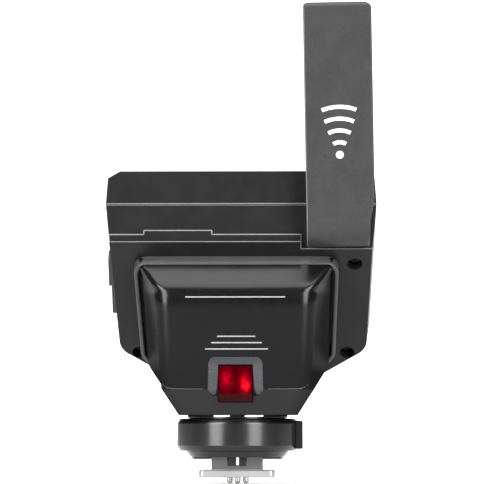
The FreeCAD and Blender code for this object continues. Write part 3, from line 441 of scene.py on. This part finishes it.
def loops_joined(loops, close_ends=True):
    """Quads between closed loops of equal length, with the ends filled if asked."""
    bm = bmesh.new()
    rings = [[bm.verts.new(point) for point in loop] for loop in loops]
    count = len(rings[0])
    for first, second in zip(rings, rings[1:]):
        for index in range(count):
            after = (index + 1) % count
            bm.faces.new((first[index], first[after], second[after], second[index]))
    if close_ends:
        bm.faces.new(rings[0])
        bm.faces.new(list(reversed(rings[-1])))
    return bm


def turned(profile, segments):
    """A lathe shape about Z from a closed line of (radius, height) points."""
    angles = [2 * math.pi * k / segments for k in range(segments)]
    loops = [[(radius * math.cos(angle), radius * math.sin(angle), height) for angle in angles]
             for radius, height in profile + profile[:1]]
    bm = loops_joined(loops, close_ends=False)
    bmesh.ops.remove_doubles(bm, verts=bm.verts, dist=WELD_OWN)
    return bm


def bent_corner(before, corner, after, run, steps):
    """Points round a corner, which starts and ends at a run from it or just short of half its sides."""
    before, corner, after = Vector(before), Vector(corner), Vector(after)
    run = min(run, (before - corner).length * 0.49, (after - corner).length * 0.49)
    start = corner + (before - corner).normalized() * run
    end = corner + (after - corner).normalized() * run
    shares = [step / steps for step in range(steps + 1)]
    return [start * (1 - t) ** 2 + corner * 2 * t * (1 - t) + end * t ** 2 for t in shares]


def rounded_corners(points, radius, steps=5):
    """A closed 2-D outline with its corners rounded by one radius, or by a list with one for each."""
    radii = radius if isinstance(radius, list) else [radius] * len(points)
    outline = []
    for index, point in enumerate(points):
        before, after = points[index - 1], points[(index + 1) % len(points)]
        if radii[index] <= 0:
            outline.append(Vector(point))
            continue
        angle = (Vector(before) - Vector(point)).angle(Vector(after) - Vector(point))
        outline += bent_corner(before, point, after, radii[index] / math.tan(angle / 2), steps)
    return outline


def prism_along_y(outline, start, end):
    """An outline of (X, Z) points pushed along Y, in millimetres."""
    return loops_joined([[(x, depth, z) for x, z in outline] for depth in (start, end)])


def prism_along_x(outline, start, end):
    """An outline of (Y, Z) points pushed along X, in millimetres."""
    return loops_joined([[(depth, y, z) for y, z in outline] for depth in (start, end)])


def bevel_edges(bm, edges, radius, segments):
    """Rounds some edges of a mesh under construction."""
    bmesh.ops.bevel(bm, geom=edges, offset=radius, segments=segments, profile=0.5, affect="EDGES")


def blended(first, second, share):
    """The value at a share of the way from the first to the second."""
    return first + (second - first) * share


def eased(share):
    """A share from 0 to 1 with a soft start and end."""
    share = min(max(share, 0.0), 1.0)
    return share * share * (3 - 2 * share)


def line_rounded(points, runs, steps):
    """An open 2-D line with its inner corners rounded, each over a run along both its sides."""
    line = [Vector(points[0])]
    for before, corner, after, run in zip(points, points[1:], points[2:], runs):
        line += bent_corner(before, corner, after, run, steps)
    line.append(Vector(points[-1]))
    return line


# ---------------------------------------------------------------- pedestal
def rim_y(z):
    """Y at which the collar's rim stands, at a height."""
    return SLOPE_TOP[0] + (SLOPE_TOP[1] - z) * RIM_SLOPE


def pedestal_half_widths(z):
    """Half width of the pedestal's front and of its widest part at the collar, at a height."""
    if z > FACE_TOP[1]:
        share = (z - FACE_TOP[1]) / (SLOPE_TOP[1] - FACE_TOP[1])
        front = blended(HALF_AT_FACE_TOP, HALF_AT_SLOPE_TOP, share)
    elif z > CREASE[1]:
        front = blended(HALF_AT_CREASE, HALF_AT_FACE_TOP, (z - CREASE[1]) / (FACE_TOP[1] - CREASE[1]))
    else:
        front = blended(HALF_AT_FOOT, HALF_AT_CREASE, (z - MODULE_BOTTOM) / (CREASE[1] - MODULE_BOTTOM))
    rim_share = (z - RIM_HALF_LOW[1]) / (RIM_HALF_HIGH[1] - RIM_HALF_LOW[1])
    at_rim = blended(RIM_HALF_LOW[0], RIM_HALF_HIGH[0], rim_share)
    side = SIDE_AT_FOOT + (z - MODULE_BOTTOM) * SIDE_SPREAD
    return front, min(side, at_rim)


def pedestal_section(y_front, z):
    """The pedestal's level outline at a height, with broad soft corners."""
    front, behind = pedestal_half_widths(z)
    rear = REAR_AT_FOOT + (z - MODULE_BOTTOM) * REAR_SPREAD
    corner_y = min(max(rim_y(z), y_front + 1.0), rear - 2.5)
    on_slope = eased((z - FACE_TOP[1] + 1.0) / 3.5)
    corner_run = blended(CORNER_RUN, CORNER_RUN_ON_SLOPE, on_slope)
    half = [(0.0, y_front), (front, y_front), (behind, corner_y), (behind, rear)]
    right = line_rounded(half, [corner_run, CORNER_RUN_AT_RIM], 9)
    return [(x, y, z) for x, y in right] + [(-x, y, z) for x, y in reversed(right[1:])]


def build_pedestal():
    """Level sections stacked from the foot to inside the collar, with the lamp's pocket cut in."""
    steep = line_rounded([(SKIRT_LOW[0] + 0.35, MODULE_BOTTOM), (SKIRT_LOW[0] - 0.1, MODULE_BOTTOM + 0.3),
                          CREASE, FACE_TOP, (SLOPE_TOP[0] + 2.0, SLOPE_TOP[1] + 2.0)], [0.3, 0.3, 3.2], 7)
    filled = [steep[0]]
    for before, after in zip(steep, steep[1:]):
        pieces = max(1, int((after - before).length / 1.2))
        filled += [before + (after - before) * (k + 1) / pieces for k in range(pieces)]
    sections = [pedestal_section(y_front, z) for y_front, z in filled]
    mesh = mesh_from(loops_joined(sections), "pedestal", 1.0)
    above_rim = mesh_from(rim_cutter(), "above_rim", 1.0)
    outline = [(-6.7, 29.7), (6.7, 29.7), (6.9, 21.4), (5.7, 20.1), (4.25, 20.1), (4.25, 18.45),
               (-4.25, 18.45), (-4.25, 20.1), (-5.7, 20.1), (-6.9, 21.4)]
    outline = rounded_corners(outline, [2.0, 2.0, 0.5, 0.5, 0, 0.1, 0.1, 0, 0.5, 0.5])
    pocket = mesh_from(prism_along_y(outline, -26, -15.25), "pocket", 1.0)
    mesh = cut_by(mesh, [above_rim, pocket])
    mesh.transform(Matrix.Scale(MM, 4))
    place("pedestal_skin", mesh, "pedestal_black", "trigger", ("pedestal_housing",), smooth=24,
          weighted=False)


def moved_in(points, distance):
    """A closed 2-D outline, given clockwise or not, with every side moved inwards."""
    middle = sum((Vector(point) for point in points), Vector((0, 0))) / len(points)
    lines = []
    for index, point in enumerate(points):
        start, end = Vector(point), Vector(points[(index + 1) % len(points)])
        run = (end - start).normalized()
        side = Vector((-run.y, run.x))
        if side.dot(middle - start) < 0:
            side = -side
        lines.append((start + side * distance, run))
    moved = []
    for (first, run), (second, other) in zip(lines[-1:] + lines[:-1], lines):
        across = run.x * other.y - run.y * other.x
        gap = second - first
        moved.append(first + run * ((gap.x * other.y - gap.y * other.x) / across))
    return moved


def build_collar():
    """The frame round the pedestal: a wall that stands off the head, with a rolled rim.

    Each level is how far it is moved in from the outside, and how far it stands off its foot."""
    corners = [(25.4, 12.0), (24.3, 41.5), (15.0, 54.8), (-15.0, 54.8), (-24.3, 41.5), (-25.4, 12.0)]
    radii = [3.7, 4.0, 4.0, 4.0, 4.0, 3.7]
    foot = 0.4 - HEAD_THICK
    levels = [(0.0, 0.4), (0.0, 2.95), (0.06, 3.12), (0.2, 3.25), (0.38, 3.3), (0.72, 3.3), (0.9, 3.25),
              (1.04, 3.12), (1.1, 2.95), (1.1, 0.4)]
    loops = []
    for inset, out in levels:
        shrunk = [max(radius - inset, 0.5) for radius in radii]
        outline = rounded_corners(moved_in(corners, inset), shrunk, 10)
        loops.append([HEAD @ Vector((x - HEAD_ORIGIN.x, down, foot - out)) for x, down in outline])
    bm = loops_joined(loops + loops[:1], close_ends=False)
    bmesh.ops.remove_doubles(bm, verts=bm.verts, dist=WELD_OWN)
    # The collar takes the paler material: painted light.
    place("collar_skin", mesh_from(bm, "collar"), "pedestal_black", "trigger", ("pedestal_collar",),
          smooth=50, material=COLLAR_PAINTED_LIGHT, weighted=False)


def rim_cutter():
    """Everything above a level just inside the head."""
    size = 200.0
    bm = bmesh.new()
    bmesh.ops.create_cube(bm, size=size)
    bmesh.ops.translate(bm, vec=(0, 0, size / 2 - HEAD_THICK + 0.6), verts=bm.verts)
    bmesh.ops.transform(bm, matrix=HEAD, verts=bm.verts)
    return bm


def face_y(height):
    """Y of the pedestal's front at a height."""
    low, high = (CREASE, FACE_TOP) if height > CREASE[1] else (SKIRT_LOW, CREASE)
    return blended(low[0], high[0], (height - low[1]) / (high[1] - low[1]))


def build_raised_lines():
    """Four thin raised ribs on the pedestal's face, each as (left, right, height); their pale grey is a
    painted highlight.
    """
    half, proud = 0.14, 0.16
    ribs = [(-12.2, 12.2, 44.2), (-4.5, 4.9, 34.6), (-5.9, 6.5, 33.05), (-7.4, 8.0, 31.5)]
    for number, (left, right, height) in enumerate(ribs, start=1):
        outline = rounded_corners([(left, height + half), (right, height + half),
                                   (right, height - half), (left, height - half)], 0.1)
        front = face_y(height)
        bm = prism_along_y(outline, front - proud, front + 0.3)
        top = [edge for edge in bm.edges if all(v.co.y < front for v in edge.verts)]
        bevel_edges(bm, top, 0.06, 2)
        place("raised_rib_%d" % number, mesh_from(bm, "rib"), "pedestal_black", "trigger", smooth=50,
              material=RIB_PAINTED_HIGHLIGHT)


def round_the_corner(x):
    """How far the pedestal's corner lies behind its face at an X near the crease, and how far out.

    The corner is a parabola that starts a run before the front's edge and ends a run behind it."""
    lean = 0.08
    past = min(abs(x) - (HALF_AT_CREASE - CORNER_RUN), CORNER_RUN)
    if past <= 0:
        return 0.0, 0.0
    bend = CORNER_RUN - lean
    turn = (CORNER_RUN - math.sqrt(CORNER_RUN ** 2 - bend * past)) / bend
    return CORNER_RUN * turn ** 2, math.copysign(lean * turn, x)


def build_crease_line():
    """The fine moulding line across the pedestal above its skirt, turned up at both ends, paler as a painted
    highlight.
    """
    level, proud, root = 21.75, 0.05, 0.4
    path = [(-18.1, level + 2.0), (-17.7, level + 1.1), (-16.9, level + 0.4), (-15.6, level + 0.06)]
    line = path + [(x, level) for x in (-12, -8, 8, 12)] + [(-x, z) for x, z in reversed(path)]
    bm = bmesh.new()
    rows = []
    for x, z in line:
        back, out = round_the_corner(x)
        front = face_y(z) - proud + back
        section = [(front + root, -0.11), (front, -0.07), (front, 0.07), (front + root, 0.11)]
        rows.append([bm.verts.new((x + out, y, z + rise)) for y, rise in section])
    for first, second in zip(rows, rows[1:]):
        for index in range(4):
            after = (index + 1) % 4
            bm.faces.new((first[index], first[after], second[after], second[index]))
    bm.faces.new(rows[0])
    bm.faces.new(list(reversed(rows[-1])))
    at_lamp = [face for face in bm.faces if abs(face.calc_center_median().x) < 7.0]
    bmesh.ops.delete(bm, geom=at_lamp, context="FACES_ONLY")
    place("crease_line", mesh_from(bm, "crease"), "pedestal_black", "trigger", smooth=50,
          material=CREASE_PAINTED_HIGHLIGHT, weighted=False)


# ---------------------------------------------------------------- lamp
def build_lamp():
    """The glossy funnel round the lens, and the lens with its bent foot."""
    outer = rounded_corners([(-6.62, 29.62), (6.62, 29.62), (6.82, 21.4), (5.65, 20.18), (-5.65, 20.18),
                             (-6.82, 21.4)], [1.95, 1.95, 0.5, 0.5, 0.5, 0.5], 6)
    inner = rounded_corners([(-4.3, 27.75), (4.3, 27.75), (4.25, 21.4), (4.2, 20.22), (-4.2, 20.22),
                             (-4.25, 21.4)], [0.5, 0.5, 0.2, 0.1, 0.1, 0.2], 6)
    back = -15.3
    loops = [[(x, back, z) for x, z in outer],
             [(x, face_y(z) + 0.25, z) for x, z in outer],
             [(x * 0.965, face_y(z) + 0.42, z - 0.12) for x, z in outer],
             [(x, face_y(z) + 1.0, z) for x, z in inner],
             [(x, back, z) for x, z in inner]]
    bm = loops_joined(loops, close_ends=False)
    place("bezel_skin", mesh_from(bm, "bezel"), "lamp_bezel_gloss", "trigger", ("lamp_bezel",), smooth=40)

    behind, top, bottom, half = -15.35, 27.45, 18.62, 4.08
    outline = [(behind, top), (-17.9, top), (-18.35, 20.5), (-17.0, bottom), (behind, bottom)]
    profile = rounded_corners(outline, [0, 0.35, 0.25, 0.2, 0])
    bm = prism_along_x(profile, -half, half)
    sides = [edge for edge in bm.edges if abs(edge.verts[0].co.x - edge.verts[1].co.x) < 1e-4]
    bevel_edges(bm, sides, 0.28, 3)
    place("lens_skin", mesh_from(bm, "lens"), "lamp_red", "trigger", ("lamp_lens",), smooth=40)


# ---------------------------------------------------------------- ring
def build_ring():
    """The lock ring with its bevelled rims, and the tab on its right."""
    bore, wall, bottom, top = 11.98, 14.98, 6.6, 14.53
    outline = [(bore, bottom), (14.18, bottom), (wall, 7.7), (wall, 13.39), (14.41, top), (bore, top)]
    profile = rounded_corners(outline, [0.15, 0.35, 0.6, 0.7, 0.4, 0.15], 5)
    mesh = mesh_from(turned(profile, 192), "ring")
    place("lock_ring_skin", mesh, "ring_black", "ring", ("lock_ring",), smooth=40)

    inner, outer, low, high, half = 14.3, 16.19, 7.03, 13.99, 4.2
    side = rounded_corners([(inner, high), (outer, high), (outer, low), (inner, low)], [0, 0.45, 0.45, 0])
    bm = prism_along_y(side, -half, half)
    ends = [edge for edge in bm.edges if abs(edge.verts[0].co.y - edge.verts[1].co.y) < 1e-4]
    bevel_edges(bm, ends, 0.35, 3)
    place("ring_tab", mesh_from(bm, "tab"), "ring_black", "ring", smooth=40,
          material=MATERIALS["shell_black"])


# ---------------------------------------------------------------- aerial
BAR_FRONT, BAR_SPLIT = -18.9, -14.5
BAR_LEFT, BAR_RIGHT = -7.85, 8.95
BAR_BOTTOM, BAR_TOP = -9.3, 50.7
BAR_ROLL, BAR_TIP = 5.7, 1.6
BAR_EDGE = 0.42
WAIST_LOW, WAIST_HIGH = -3.3, 2.8
WAIST_RIGHT = 7.9
HINGE_END_RIGHT = 7.5
HINGE_END_FLARE = 1 / 15
TOP_CORNER_LEFT, TOP_CORNER_RIGHT = 0.8, 1.6


def bar_stations():
    """(Y, Z, outward normal) along the middle of the bar's front, from the hinge end to the tip."""
    stations = []
    roll_centre = (BAR_FRONT + BAR_ROLL, BAR_BOTTOM + BAR_ROLL)
    start = 180 + math.degrees(math.acos((roll_centre[0] - BAR_SPLIT) / BAR_ROLL))

    def on_arc(centre, radius, angle):
        normal = (math.cos(math.radians(angle)), math.sin(math.radians(angle)))
        return centre[0] + radius * normal[0], centre[1] + radius * normal[1], normal

    for step in range(25):
        stations.append(on_arc(roll_centre, BAR_ROLL, blended(start, 180, step / 24)))
    flat_end = BAR_TOP - BAR_TIP
    for step in range(1, 31):
        stations.append((BAR_FRONT, blended(roll_centre[1], flat_end, step / 30), (-1.0, 0.0)))
    for step in range(1, 11):
        stations.append(on_arc((BAR_FRONT + BAR_TIP, flat_end), BAR_TIP, 180 - 90 * step / 10))
    stations.append((BAR_SPLIT, BAR_TOP, (0.0, 1.0)))
    return stations


def corner_inset(height, radius):
    """How far a side moves in at a height, where the bar's top corner is rounded."""
    above = min(max(height - (BAR_TOP - radius), 0.0), radius)
    return radius - math.sqrt(radius * radius - above * above)


def bar_sides(height):
    """Left and right edges of the bar at a height, with its waist and rounded top corners."""
    if height < WAIST_LOW:
        right = HINGE_END_RIGHT + (height - BAR_BOTTOM) * HINGE_END_FLARE
    else:
        share = (height - WAIST_LOW) / (WAIST_HIGH - WAIST_LOW)
        right = blended(WAIST_RIGHT, BAR_RIGHT, eased(share))
    return BAR_LEFT + corner_inset(height, TOP_CORNER_LEFT), right - corner_inset(height, TOP_CORNER_RIGHT)


def bar_section(y, z, normal):
    """The bar's outline across its front at a station, with both edges rounded."""
    left, right = bar_sides(z)
    normal_y, normal_z = normal
    foot_z = z - BAR_EDGE * normal_z
    angles = [math.radians(90 * step / 5) for step in range(6)]
    rounding = [(BAR_EDGE * (1 - math.cos(angle)), BAR_EDGE * (1 - math.sin(angle))) for angle in angles]

    def rounded_at(side, direction, steps):
        return [(side + direction * across, min(y - inward * normal_y, BAR_SPLIT), z - inward * normal_z)
                for across, inward in steps]

    return ([(left, BAR_SPLIT, foot_z)] + rounded_at(left, 1, rounding)
            + rounded_at(right, -1, reversed(rounding)) + [(right, BAR_SPLIT, foot_z)])


def build_aerial_front():
    """The bar's front, rolled at the hinge end, with a paler left edge as a painted highlight."""
    bm = loops_joined([bar_section(y, z, normal) for y, z, normal in bar_stations()])
    bmesh.ops.remove_doubles(bm, verts=bm.verts, dist=0.001)
    bmesh.ops.recalc_face_normals(bm, faces=bm.faces)
    # Faces of the left edge's rounding get the paler material: a painted highlight.
    for face in bm.faces:
        across = face.calc_center_median().x
        if across < BAR_LEFT + BAR_EDGE and -0.95 < face.normal.x < -0.25:
            face.material_index = 1
    bmesh.ops.transform(bm, matrix=UPRIGHT, verts=bm.verts)
    mesh = mesh_from(bm, "aerial")
    place("aerial_front_skin", mesh, "aerial_black", "aerial", ("aerial_front_cover",), smooth=32)
    mesh.materials.append(AERIAL_PAINTED_HIGHLIGHT)


def build_symbol():
    """A printed radio symbol on the aerial: a dot and arcs that widen upwards."""
    front = BAR_FRONT - 0.02
    centre = Vector((0.6, 13.0))
    first_arc, spacing, width, steps = 2.6, 2.9, 0.95, 40
    bands = [(0.01, width, 180)]
    bands += [(first_arc + spacing * k, first_arc + spacing * k + width, 30 - 3.0 * k) for k in range(4)]
    bm = bmesh.new()
    for inner, outer, half in bands:
        previous = None
        for step in range(steps + 1):
            angle = math.radians(90 - half + 2 * half * step / steps)
            ray = Vector((math.cos(angle), math.sin(angle)))
            points = [centre + ray * radius for radius in (inner, outer)]
            pair = [bm.verts.new((x, front, z)) for x, z in points]
            if previous:
                bm.faces.new((previous[0], previous[1], pair[1], pair[0]))
            previous = pair
    bmesh.ops.transform(bm, matrix=UPRIGHT, verts=bm.verts)
    mesh = settled(mesh_from(bm, "symbol"), [("SOLIDIFY", {"thickness": 0.015 * MM, "offset": 0.0})])
    place("radio_symbol", mesh, "aerial_black", "aerial", smooth=60, material=PRINT_WHITE, weighted=False)


# ---------------------------------------------------------------- build
LIP_BACK = -9.0
LIP_LEVELS = (56.0, 70.5)
LIP_HALF_WIDTH = 32.6
SHELL_EDGE = 0.17


def front_lip(place_on_shell):
    """Whether a place is on the lips in front: the recess steps and the parting line, whose rounded edges
    get the painted edge highlight.
    """
    x, y, z = place_on_shell
    return y < LIP_BACK and LIP_LEVELS[0] < z < LIP_LEVELS[1] and abs(x - HEAD_ORIGIN.x) < LIP_HALF_WIDTH


# Edge radii of the other nodes that keep the CAD's shape; at 0 their edges stay as they are.
EDGE_RADII = {
    "pedestal_base": 0.0, "power_key": 0.2, "lamp_key": 0.2, "aerial_back_cover": 0.25,
    "hinge_spacer": 0.12, "touch_glass": 0.12, "dial_knob": 0.0, "set_button": 0.0, "shoe_base": 0.12,
    "shoe_foot": 0.12, "contact_block": 0.06, "usb_c_socket": 0.05, "sync_jack": 0.05,
    "enclosure_screws": 0.05, "rear_key_1": 0.2, "rear_key_2": 0.2, "rear_key_3": 0.2, "rear_key_4": 0.2,
}

for node, piece in NODES.items():
    piece.data.materials.clear()
    piece.data.materials.append(MATERIALS[SLOT_OF[node]])

for node in ("front_shell", "screen_shell"):
    softened(node, SHELL_EDGE, front_lip)
for node, radius in EDGE_RADII.items():
    softened(node, radius)

build_pedestal()
build_collar()
build_raised_lines()
build_crease_line()
build_lamp()
build_ring()
build_aerial_front()
build_symbol()


# ---------------------------------------------------------------- stage, lights and camera
# Y in metres over which the stage's light comes in: just under the foot, and far behind it.
NEAR_GLOW = (-0.012, 0.008)
FAR_GLOW = (0.6, 2.0)


def stage_material(name, grey, glow):
    """A plain pale matt surface that gives off light behind the trigger, more of it far away."""
    material, tree, shader = new_material(name)
    depth = own_coordinates(tree)["Y"]
    total = tree.nodes.new("ShaderNodeMath")
    total.operation = "ADD"
    tree.links.new(spread_to(tree, depth, 0.0, glow, *NEAR_GLOW), total.inputs[0])
    tree.links.new(spread_to(tree, depth, 0.0, 1.0 - glow, *FAR_GLOW), total.inputs[1])
    tree.links.new(total.outputs[0], shader.inputs["Emission Strength"])
    shader.inputs["Emission Color"].default_value = (1, 1, 1, 1)
    shader.inputs["Base Color"].default_value = (grey, grey, grey, 1)
    shader.inputs["Roughness"].default_value = 0.9
    shader.inputs["Specular IOR Level"].default_value = 0.1
    return material


def plane(name, corners, material):
    """A flat four-cornered stage piece, in metres."""
    mesh = bpy.data.meshes.new(name)
    mesh.from_pydata([Vector(corner) for corner in corners], [], [(0, 1, 2, 3)])
    mesh.materials.append(material)
    piece = bpy.data.objects.new(name, mesh)
    bpy.context.scene.collection.objects.link(piece)


FLOOR_Z = -1.85 * MM
HALF_WIDTH, FRONT, BACK, TOP = 1.2, -0.4, 3.0, 1.6
plane("floor", [(-HALF_WIDTH, FRONT, FLOOR_Z), (HALF_WIDTH, FRONT, FLOOR_Z), (HALF_WIDTH, BACK, FLOOR_Z),
                (-HALF_WIDTH, BACK, FLOOR_Z)], stage_material("floor", 0.7, 0.6))
plane("backdrop", [(-HALF_WIDTH, BACK, FLOOR_Z), (HALF_WIDTH, BACK, FLOOR_Z), (HALF_WIDTH, BACK, TOP),
                   (-HALF_WIDTH, BACK, TOP)], stage_material("backdrop", 0.9, 0.6))


def softbox(name, azimuth, elevation, distance, width, height, power):
    """A rectangular soft light, its face towards the trigger's middle, sizes and distance in metres.

    The azimuth is 0 at the camera's side and grows to the right."""
    data = bpy.data.lights.new(name, "AREA")
    data.shape = "RECTANGLE"
    data.size = width
    data.size_y = height
    data.energy = power
    light = bpy.data.objects.new(name, data)
    bpy.context.scene.collection.objects.link(light)
    a, e = math.radians(azimuth), math.radians(elevation)
    outward = Vector((math.sin(a) * math.cos(e), -math.cos(a) * math.cos(e), math.sin(e)))
    light.location = Vector((0, 0, 0.06)) + outward * distance
    light.rotation_mode = "QUATERNION"
    light.rotation_quaternion = outward.to_track_quat("Z", "Y")


softbox("softbox_left", -40, 19, 0.9, 0.40, 0.75, 11.5)
softbox("softbox_right", 35, 19, 0.9, 0.40, 0.75, 10.5)
softbox("softbox_top", 0, 84, 0.7, 0.7, 0.6, 6.0)

world = bpy.data.worlds.new("room")
world.use_nodes = True
room_light = world.node_tree.nodes["Background"]
room_light.inputs["Color"].default_value = (1, 1, 1, 1)
room_light.inputs["Strength"].default_value = 0.02
bpy.context.scene.world = world
bpy.context.scene.view_settings.view_transform = "Standard"

# A long lens looks slightly up from 1 m away, a little to the right of the middle.
YAW, RISE, DISTANCE = math.radians(1.6), math.radians(-2.5), 1.0
SENSOR_WIDTH, PICTURE_PIXELS, FOCAL_PIXELS = 36.0, 484, 4010
target = Vector((1.1, 0, 58.5)) * MM
backward = Vector((math.sin(YAW) * math.cos(RISE), -math.cos(YAW) * math.cos(RISE), math.sin(RISE)))
camera_data = bpy.data.cameras.new("camera")
camera_data.sensor_width = SENSOR_WIDTH
camera_data.lens = SENSOR_WIDTH * FOCAL_PIXELS / PICTURE_PIXELS
camera_data.clip_start, camera_data.clip_end = 0.05, 20
camera = bpy.data.objects.new("camera", camera_data)
bpy.context.scene.collection.objects.link(camera)
camera.location = target + backward * DISTANCE
camera.rotation_mode = "QUATERNION"
camera.rotation_quaternion = backward.to_track_quat("Z", "Y")
bpy.context.scene.camera = camera
